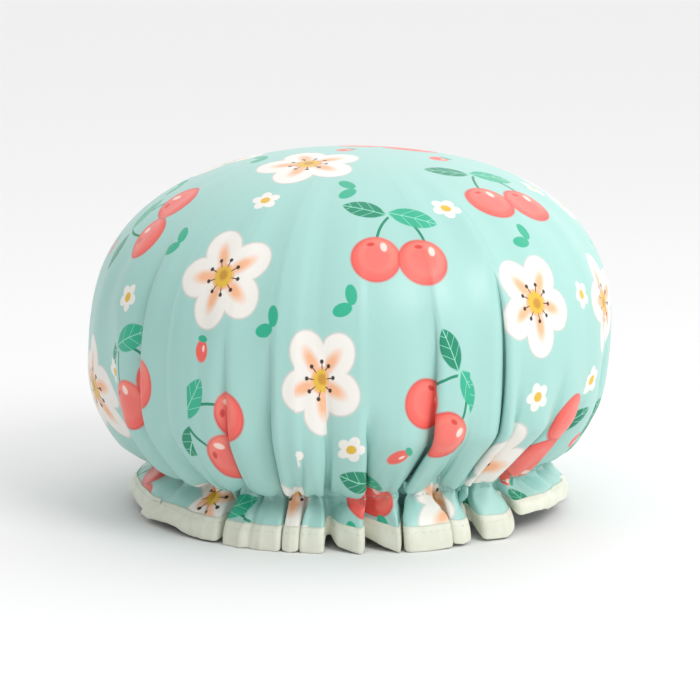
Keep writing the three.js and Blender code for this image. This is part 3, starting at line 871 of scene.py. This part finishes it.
def leaf(spot, base, angle, length, colour):
    """Layers of a pointed leaf with a midrib and side veins."""
    here = turned(spot, base, angle)
    bow = LEAF_BOW * length
    upper = blob(here, (length / 2, LEAF_SWING * length), (bow, bow), 0.02)
    lower = blob(here, (length / 2, -LEAF_SWING * length), (bow, bow), 0.02)
    shape = add(satin, "Math", upper, lower, operation="MINIMUM")
    split = add(satin, "SeparateXYZ", here).node.outputs
    aside = add(satin, "Math", split["Y"], operation="ABSOLUTE")
    slope = add(satin, "Math", split["X"], aside, operation="SUBTRACT")
    teeth = add(satin, "Math", slope, VEIN_SPACING * length, operation="PINGPONG")
    side_veins = add(satin, "Math", teeth, 0.0, VEIN_HALF, operation="COMPARE")
    midrib = add(satin, "Math", aside, 0.0, MIDRIB_HALF, operation="COMPARE")
    veins = add(satin, "Math", side_veins, midrib, operation="MAXIMUM")
    return [(shape, colour), (add(satin, "Math", veins, shape, operation="MINIMUM"), VEIN)]


def stem(spot, centre, radius, middle, half):
    """A thin arc, part of a ring, kept inside an ellipse."""
    far = add(satin, "VectorMath", spot, (*centre, 0.0), operation="DISTANCE")
    ring = add(satin, "Math", far, radius, STEM_HALF, operation="COMPARE")
    return add(satin, "Math", ring, blob(spot, middle, half), operation="MINIMUM")


# %% Cherries and blossoms
CORAL, RED, SALMON, FLESH, GLINT = "#F2645A", "#D8423E", "#F88F7E", "#F4736A", "#FCD9CE"
CREAM, PETAL_EDGE, PEACH = "#F0ECE6", "#D5CEC8", "#F5B990"
YELLOW, POLLEN, BROWN = "#E3B93F", "#C9902F", "#3A2A26"
PETALS, STAMENS = 5, 9


def cherry(spot, centre):
    """Layers of one cherry: dark rim, flesh, light side and glint."""
    x, y = centre
    return [
        (blob(spot, centre, (10.0, 9.6)), RED),
        (blob(spot, centre, (9.3, 8.9)), CORAL),
        (blob(spot, (x + 1.4, y + 1.6), (7.0, 6.6), 0.25), SALMON),
        (blob(spot, (x + 0.2, y + 0.4), (6.6, 6.2), 0.3), FLESH),
        (blob(spot, (x + 4.2, y + 4.4), (1.3, 2.0), 0.2), GLINT),
        (blob(spot, (x - 0.5, y + 6.4), (1.6, 0.9), 0.3), RED),
    ]


def cherry_pair(spot):
    """Layers of two cherries on their stems, with two leaves where these meet."""
    stems = [
        (stem(spot, (16.0, -6.0), 24.0, (-5.0, 8.0), (6.5, 9.5)), DEEP_LEAF),
        (stem(spot, (-14.0, -4.0), 26.0, (7.5, 7.0), (7.0, 10.5)), DEEP_LEAF),
    ]
    leaves = leaf(spot, (1.0, 15.0), 0.35, 19.0, LEAF) + leaf(spot, (0.0, 14.0), -2.6, 17.0, DEEP_LEAF)
    return stems + leaves + cherry(spot, (-9.0, -6.0)) + cherry(spot, (9.5, -9.0))


def blossom(spot):
    """Layers of a five-petalled flower."""
    petal = round_petals(spot, PETALS)
    stamen = round_petals(spot, STAMENS)
    return [
        (blob(petal, (11.6, 0.0), (9.2, 8.3)), PETAL_EDGE),
        (blob(petal, (11.6, 0.0), (8.7, 7.7)), CREAM),
        (blob(petal, (8.4, 0.0), (5.2, 2.3), 0.5), PEACH),
        (blob(spot, (0.0, 0.0), (5.2, 5.2)), PEACH),
        (blob(spot, (0.0, 0.0), (4.2, 4.2)), YELLOW),
        (blob(spot, (0.4, 0.5), (2.0, 2.0), 0.3), POLLEN),
        (blob(stamen, (7.0, 0.0), (0.8, 0.8), 0.2), BROWN),
        (blob(stamen, (5.4, 0.0), (1.6, 0.22), 0.3), BROWN),
    ]


# %% Lay out the large motifs
PRINT_SCALE = 1.2  # all motifs are drawn this much larger
PRINT_START = (18.0, 9.0, 0.0)  # slides the layout over the disc
CELL_WIDTH, CELL_HEIGHT = 68.0, 53.0
LARGE_SHIFT, LARGE_SWING = 9.0, 1.9  # how far chance moves a large motif and turns it, in radians
flat = add(satin, "UVMap", uv_map="flat_cloth")
shrunk = (1 / PRINT_SCALE, 1 / PRINT_SCALE, 0.0)
moved = add(satin, "VectorMath", flat, shrunk, PRINT_START, operation="MULTIPLY_ADD")


def grid_cells(spot, width, height, shift):
    """Cell numbers of a brick layout and the place inside each cell, from its middle."""
    split = add(satin, "SeparateXYZ", spot).node.outputs
    rows_up = add(satin, "Math", split["Y"], height, operation="DIVIDE")
    row = add(satin, "Math", rows_up, operation="FLOOR")
    odd = add(satin, "Math", row, 2.0, operation="FLOORED_MODULO")
    across = add(satin, "Math", odd, shift, split["X"], operation="MULTIPLY_ADD")
    columns_along = add(satin, "Math", across, width, operation="DIVIDE")
    column = add(satin, "Math", columns_along, operation="FLOOR")
    cell = add(satin, "CombineXYZ", column, row)
    half = (width / 2, height / 2, 0.0)
    middle = add(satin, "VectorMath", cell, (width, height, 0.0), half, operation="MULTIPLY_ADD")
    placed = add(satin, "CombineXYZ", across, split["Y"])
    return cell, add(satin, "VectorMath", placed, middle, operation="SUBTRACT")


def shaken(cell, inside, reach, swing):
    """Moves and turns each cell's drawing by chance."""
    chance = add(satin, "TexWhiteNoise", cell, noise_dimensions="3D").node.outputs
    push = add(satin, "VectorMath", chance["Color"], (0.5, 0.5, 0.5), operation="SUBTRACT")
    push = add(satin, "VectorMath", push, (reach, reach, 0.0), inside, operation="MULTIPLY_ADD")
    angle = add(satin, "Math", chance["Value"], swing, -swing / 2, operation="MULTIPLY_ADD")
    turn = add(satin, "VectorRotate", push, (0.0, 0.0, 0.0), angle, rotation_type="Z_AXIS")
    return chance["Value"], turn


large_cell, large_inside = grid_cells(moved, CELL_WIDTH, CELL_HEIGHT, CELL_WIDTH / 2)
large_spot = shaken(large_cell, large_inside, LARGE_SHIFT, LARGE_SWING)[1]
large_sum = add(satin, "VectorMath", large_cell, (1.0, 1.0, 0.0), operation="DOT_PRODUCT")
is_blossom = add(satin, "Math", large_sum, 2.0, operation="FLOORED_MODULO")
print("one large motif on every", round(CELL_WIDTH * PRINT_SCALE), "mm of a row")

# %% Paint the mint ground and the motifs
MINT = "#A4D2CA"
cherry_cloth = layered(linear(MINT), cherry_pair(large_spot))
blossom_cloth = layered(linear(MINT), blossom(large_spot))
cloth_colour = add(satin, "Mix", is_blossom, cherry_cloth, blossom_cloth, data_type="RGBA")
print(len(satin.nodes), "nodes draw the large motifs")

# %% Small motifs between the large ones
SMALL_SHIFT, SMALL_SWING = 7.0, 6.0
SMALL_KINDS = 4.0  # the fourth kind stays bare
between_rows = add(satin, "VectorMath", moved, (0.0, CELL_HEIGHT / 2, 0.0), operation="ADD")
small_cell, small_inside = grid_cells(between_rows, CELL_WIDTH / 2, CELL_HEIGHT, 0.0)
small_chance, small_spot = shaken(small_cell, small_inside, SMALL_SHIFT, SMALL_SWING)
small_share = add(satin, "Math", small_chance, SMALL_KINDS, operation="MULTIPLY")
small_kind = add(satin, "Math", small_share, operation="FLOOR")
small_petal = round_petals(small_spot, PETALS)
small_motifs = (
    [
        (blob(small_petal, (3.1, 0.0), (2.5, 2.1), 0.1), CREAM),
        (blob(small_spot, (0.0, 0.0), (1.9, 1.9), 0.1), YELLOW),
    ],
    [
        (stem(small_spot, (0.0, -9.0), 9.0, (0.0, -2.0), (2.6, 5.0)), DEEP_LEAF),
        (blob(turned(small_spot, (-3.4, 1.2), 0.6), (0.0, 0.0), (4.2, 2.5)), LEAF),
        (blob(turned(small_spot, (3.2, 2.2), -0.9), (0.0, 0.0), (3.9, 2.4)), LEAF),
    ],
    [
        (blob(small_spot, (0.0, 0.0), (3.2, 4.2), 0.1), CORAL),
        (blob(small_spot, (0.9, 1.0), (0.7, 1.2), 0.2), GLINT),
        (blob(small_spot, (0.0, 4.4), (2.5, 1.3), 0.1), LEAF),
    ],
)
for kind, layers in enumerate(small_motifs):
    chosen = add(satin, "Math", small_kind, float(kind), 0.1, operation="COMPARE")
    for mask, colour in layers:
        shown = add(satin, "Math", mask, chosen, operation="MINIMUM")
        cloth_colour = layered(cloth_colour, [(shown, colour)])
print(len(satin.nodes), "nodes draw the whole print")

# %% [markdown]
# ## The satin's sheen
# Satin's long threads lie side by side, so it is smooth and shines softly. A clear coat could give the shine,
# but it would look lacquered, so the cloth itself is made semi-glossy and its gloss varies a little with the
# weave. Shallow ripples run from the gathers up the cloth, too small to model, and are drawn as relief.

# %% Finish the satin
# Polyester satin, woven smooth: a broad soft shine that follows every fold, and hardly any fuzz.
RIPPLE_WIDTH, RIPPLE_LENGTH = 4.1364, 55.556  # millimetres, where the elastic gathers the cloth
RIPPLES_FROM, RIPPLES_FULL = 175.0, 235.0  # millimetres from the disc's middle
RIPPLE_RISE = 1.8
FLOAT_WIDTH, FLOAT_LENGTH = 0.45455, 2.0  # real threads are a quarter of this, too fine to show here
FLOAT_RISE = 0.05
SHINY, DULL = 0.32, 0.41
flat_parts = add(satin, "SeparateXYZ", flat).node.outputs
flat_angle = add(satin, "Math", flat_parts["X"], flat_parts["Y"], operation="ARCTAN2")
flat_far = add(satin, "VectorMath", flat, operation="LENGTH")
ripple_spot = add(
    satin, "CombineXYZ",
    add(satin, "Math", flat_angle, GATHER_RADIUS / RIPPLE_WIDTH, operation="MULTIPLY"),
    add(satin, "Math", flat_far, 1 / RIPPLE_LENGTH, operation="MULTIPLY"),
)
ripples = add(satin, "TexNoise", ripple_spot, named={"Scale": 1.0, "Detail": 1.5, "Roughness": 0.5})
ripple_depth = add(satin, "MapRange", flat_far, RIPPLES_FROM, RIPPLES_FULL, 0.0, RIPPLE_RISE)
ripple_height = add(satin, "Math", ripples, ripple_depth, operation="MULTIPLY")
floats = (1 / FLOAT_WIDTH, 1 / FLOAT_LENGTH, 1.0)
weave_spot = add(satin, "VectorMath", flat, floats, operation="MULTIPLY")
weave = add(satin, "TexNoise", weave_spot, named={"Scale": 1.0, "Detail": 2.0})
weave_height = add(satin, "Math", weave, FLOAT_RISE, ripple_height, operation="MULTIPLY_ADD")
relief = add(satin, "Bump", named={"Strength": 1.0, "Distance": MM, "Height": weave_height})
gloss = add(satin, "MapRange", weave, NOISE_LOW, NOISE_HIGH, SHINY, DULL)
satin_surface = add(
    satin, "BsdfPrincipled",
    named={"Base Color": cloth_colour, "Roughness": gloss, "Normal": relief, "Sheen Weight": 0.03,
           "Sheen Roughness": 0.4, "Specular IOR Level": 0.48},
)
put_on(satin_finish, satin_surface, outer)

# %% [markdown]
# ## The tape's weave
# The binding is a plain cream ribbon, woven and pressed. A flat colour would do from far off, but close by a
# ribbon shows fine ribs across it and its dye is never quite even. Both are laid on coordinates that run
# along the tape, so that they turn with it through every fold.

# %% Tape
# Woven polyester tape: a dull, even face with fine cross ribs.
RIB_SPACING = 0.8976  # millimetres
WAVE_SPACING = 2 * math.pi / 20  # that of a wave texture at scale 1
MOTTLE_SIZE = 8.3333
TAPE_RELIEF = 0.2
tape_finish, tape = finish_material("woven_polyester_tape")
tape_flat = add(tape, "UVMap", uv_map="flat_cloth")
rib_scale = WAVE_SPACING / RIB_SPACING
ribs = add(tape, "TexWave", tape_flat, named={"Scale": rib_scale, "Distortion": 0.6, "Detail": 1.0})
mottle = add(tape, "TexNoise", tape_flat, named={"Scale": 1 / MOTTLE_SIZE, "Detail": 3.0})
tape_mix = add(tape, "MapRange", mottle, NOISE_LOW, NOISE_HIGH, 0.0, 1.0)
tape_colour = add(tape, "Mix", tape_mix, linear("#D8DAC8"), linear("#E6E7D8"), data_type="RGBA")
tape_relief = add(tape, "Bump", named={"Strength": 0.12, "Distance": TAPE_RELIEF * MM, "Height": ribs})
tape_surface = add(
    tape, "BsdfPrincipled",
    named={"Base Color": tape_colour, "Roughness": 0.5, "Normal": tape_relief, "Sheen Weight": 0.1},
)
put_on(tape_finish, tape_surface, binding)

# %% [markdown]
# ## The liner's film
# The liner is a soft waterproof film, milky and cast smooth. It could be made see-through, but against the
# satin's back a milky face looks the same and renders cleanly. A faint crinkle, as in film that was folded
# for its packet, breaks up the gloss, and painted shade darkens its dips. It lies on the object's own
# coordinates, as it follows no thread.

# %% Liner
# PEVA film: milky and a little shiny, with a faint crinkle whose dips carry painted shade.
CRINKLE_SIZE = 16.667  # millimetres
CRINKLE_RELIEF = 0.8
liner_finish, film = finish_material("peva_film")
film_place = add(film, "TexCoord").node.outputs["Object"]
crinkle = add(film, "TexNoise", film_place, named={"Scale": 1 / (CRINKLE_SIZE * MM), "Detail": 4.0})
crinkle_shade = add(film, "MapRange", crinkle, NOISE_LOW, NOISE_HIGH, 0.0, 1.0)
# painted shade: the film is drawn a little darker where the crinkle is low
film_colour = add(film, "Mix", crinkle_shade, linear("#DCE7E2"), linear("#EBF3EF"), data_type="RGBA")
film_relief = add(film, "Bump", named={"Strength": 0.4, "Distance": CRINKLE_RELIEF * MM, "Height": crinkle})
film_surface = add(
    film, "BsdfPrincipled",
    named={"Base Color": film_colour, "Roughness": 0.28, "Normal": film_relief},
)
put_on(liner_finish, film_surface, liner)

# %% [markdown]
# ## The elastic's braid
# Elastic is polyester yarn braided slantwise over rubber cores. The ribs of the cores are in the mesh. The
# braid could be modelled yarn by yarn, but it is hidden in the channel, so a slanting wave gives its relief
# and paints shade into its grooves.

# %% Elastic
# Braided elastic: white, soft and dull, with a slanting plait whose grooves carry painted shade.
PLAIT_SPACING = 2.0944  # millimetres along the elastic
SLANTING_WAVE = 2 * math.pi / 10  # spacing of a slanting wave texture at scale 1
PLAIT_RELIEF = 0.3
elastic_finish, braid = finish_material("braided_elastic")
braid_flat = add(braid, "UVMap", uv_map="flat_cloth")
plait = add(
    braid, "TexWave", braid_flat,
    bands_direction="DIAGONAL", named={"Scale": SLANTING_WAVE / PLAIT_SPACING, "Distortion": 0.3},
)
# painted shade: the white is drawn greyer where the plait's relief is low
plait_shaded_colour = add(braid, "Mix", plait, linear("#DFE0DA"), linear("#F6F6F2"), data_type="RGBA")
braid_relief = add(braid, "Bump", named={"Strength": 0.5, "Distance": PLAIT_RELIEF * MM, "Height": plait})
braid_surface = add(
    braid, "BsdfPrincipled",
    named={"Base Color": plait_shaded_colour, "Roughness": 0.8, "Normal": braid_relief},
)
put_on(elastic_finish, braid_surface, elastic)

# %% [markdown]
# ## The threads
# Sewing thread is twisted from polyester, dyed to match its cloth. The twist could be modelled as a winding
# strand, but a stitch is under half a millimetre thick, so specks of painted highlight and painted shade
# along it stand in for the light on the twist.

# %% Threads
# Twisted polyester thread: a soft shine, with painted highlight and painted shade by turns along the twist.
TWIST_LENGTH = 1.1111  # millimetres, a few times the real one, which is too fine to show
for thread_name, dark, light, rows_of_thread in (
    ("mint_thread", "#8CCFC0", "#B4E8DC", channel_rows),
    ("cream_thread", "#D2D3C3", "#EDEEE2", [binding_row]),
):
    thread_finish, thread = finish_material(thread_name)
    thread_place = add(thread, "TexCoord").node.outputs["Object"]
    twist_highlight_and_shade = add(thread, "TexNoise", thread_place, named={"Scale": 1 / (TWIST_LENGTH * MM), "Detail": 1.0})
    # painted highlight and painted shade: the noise makes the thread lighter and darker by turns along its
    # twist
    thread_colour = add(thread, "Mix", twist_highlight_and_shade, linear(dark), linear(light), data_type="RGBA")
    thread_surface = add(thread, "BsdfPrincipled", named={"Base Color": thread_colour, "Roughness": 0.55})
    put_on(thread_finish, thread_surface, *rows_of_thread)

# %% [markdown]
# Both discs were cut to the length of the satin from its middle to the hem. The tape is as long and wide as
# its section and its run through the folds.

# %% [markdown]
# ## The camera
# The photograph looks a little down on the cap from the front. A short lens close by would swell the belly
# towards the eye, so a long lens stands well back. A small shift of the lens sets the cap at its height in
# the frame without tipping it.

# %% Camera
CAMERA_DISTANCE = 1144.0
CAMERA_RISE = math.radians(9.4)
AIM_HEIGHT = 88.0
LENS = 123.7
IMAGE_LOW = 0.0456  # shift as a share of the frame
lens = bpy.data.cameras.new("camera")
lens.lens = LENS
lens.shift_y = -IMAGE_LOW
camera = bpy.data.objects.new("camera", lens)
camera.location = (
    0.0,
    -CAMERA_DISTANCE * math.cos(CAMERA_RISE) * MM,
    (AIM_HEIGHT + CAMERA_DISTANCE * math.sin(CAMERA_RISE)) * MM,
)
camera.rotation_euler = (math.pi / 2 - CAMERA_RISE, 0.0, 0.0)
bpy.context.collection.objects.link(camera)
bpy.context.scene.camera = camera
print("camera at", [round(metres, 3) for metres in camera.location])

# %% [markdown]
# ## Floor and light
# The cap stands on a plain pale floor in a white studio. A curved backdrop could hide the far edge, but the
# cap is looked at from all sides, so the floor is simply wide. The room itself gives most of the light and
# is brighter on the right, behind and above. One soft lamp at the upper right adds the broad shine on the
# satin. Several lamps would show as several patches in the gloss.

# %% Floor
# Matt white paint: it gives the cap a soft shadow and lights it from below.
FLOOR_SIZE = 20.0  # metres
bpy.ops.mesh.primitive_plane_add(size=FLOOR_SIZE, location=(0.0, 0.0, 0.0))
floor = bpy.context.object
floor.name = "floor"
floor_finish, paint = finish_material("white_floor")
floor_surface = add(paint, "BsdfPrincipled", named={"Base Color": linear("#EFEFEF"), "Roughness": 0.9})
put_on(floor_finish, floor_surface, floor)

# %% White room, brighter on the right
ROOM_LIGHT = 0.78
ROOM_SLOPE = (0.36, 0.28, 0.32)  # how much brighter the room is to the right, at the back and above
world = bpy.data.worlds.new("studio")
world.use_nodes = True
room = world.node_tree
room.nodes.clear()
direction = add(room, "TexCoord").node.outputs["Object"]
slope = add(room, "VectorMath", direction, ROOM_SLOPE, operation="DOT_PRODUCT")
strength = add(room, "Math", slope, ROOM_LIGHT, operation="ADD")
add(room, "OutputWorld", add(room, "Background", (1.0, 1.0, 1.0, 1.0), strength))
bpy.context.scene.world = world
bpy.context.scene.view_settings.view_transform = "Standard"
print("room light", ROOM_LIGHT, "and how it changes along each axis", ROOM_SLOPE)

# %% Lamp at the upper right
LAMP_PLACE = (0.9, -1.0, 1.2)  # metres
LAMP_AIM = (0.0, 0.0, 0.08)
LAMP_SIZE = 0.7
LAMP_POWER = 11.0  # watts
lamp = bpy.data.lights.new("soft_box", "AREA")
lamp.size = LAMP_SIZE
lamp.energy = LAMP_POWER
holder = bpy.data.objects.new("soft_box", lamp)
holder.location = LAMP_PLACE
toward_x, toward_y, toward_z = np.array(LAMP_AIM) - np.array(LAMP_PLACE)
holder.rotation_euler = (
    math.atan2(math.hypot(toward_x, toward_y), -toward_z),
    0.0,
    math.atan2(-toward_x, toward_y),
)
bpy.context.collection.objects.link(holder)
print("lamp", round(math.dist(LAMP_PLACE, LAMP_AIM), 2), "m from the cap")
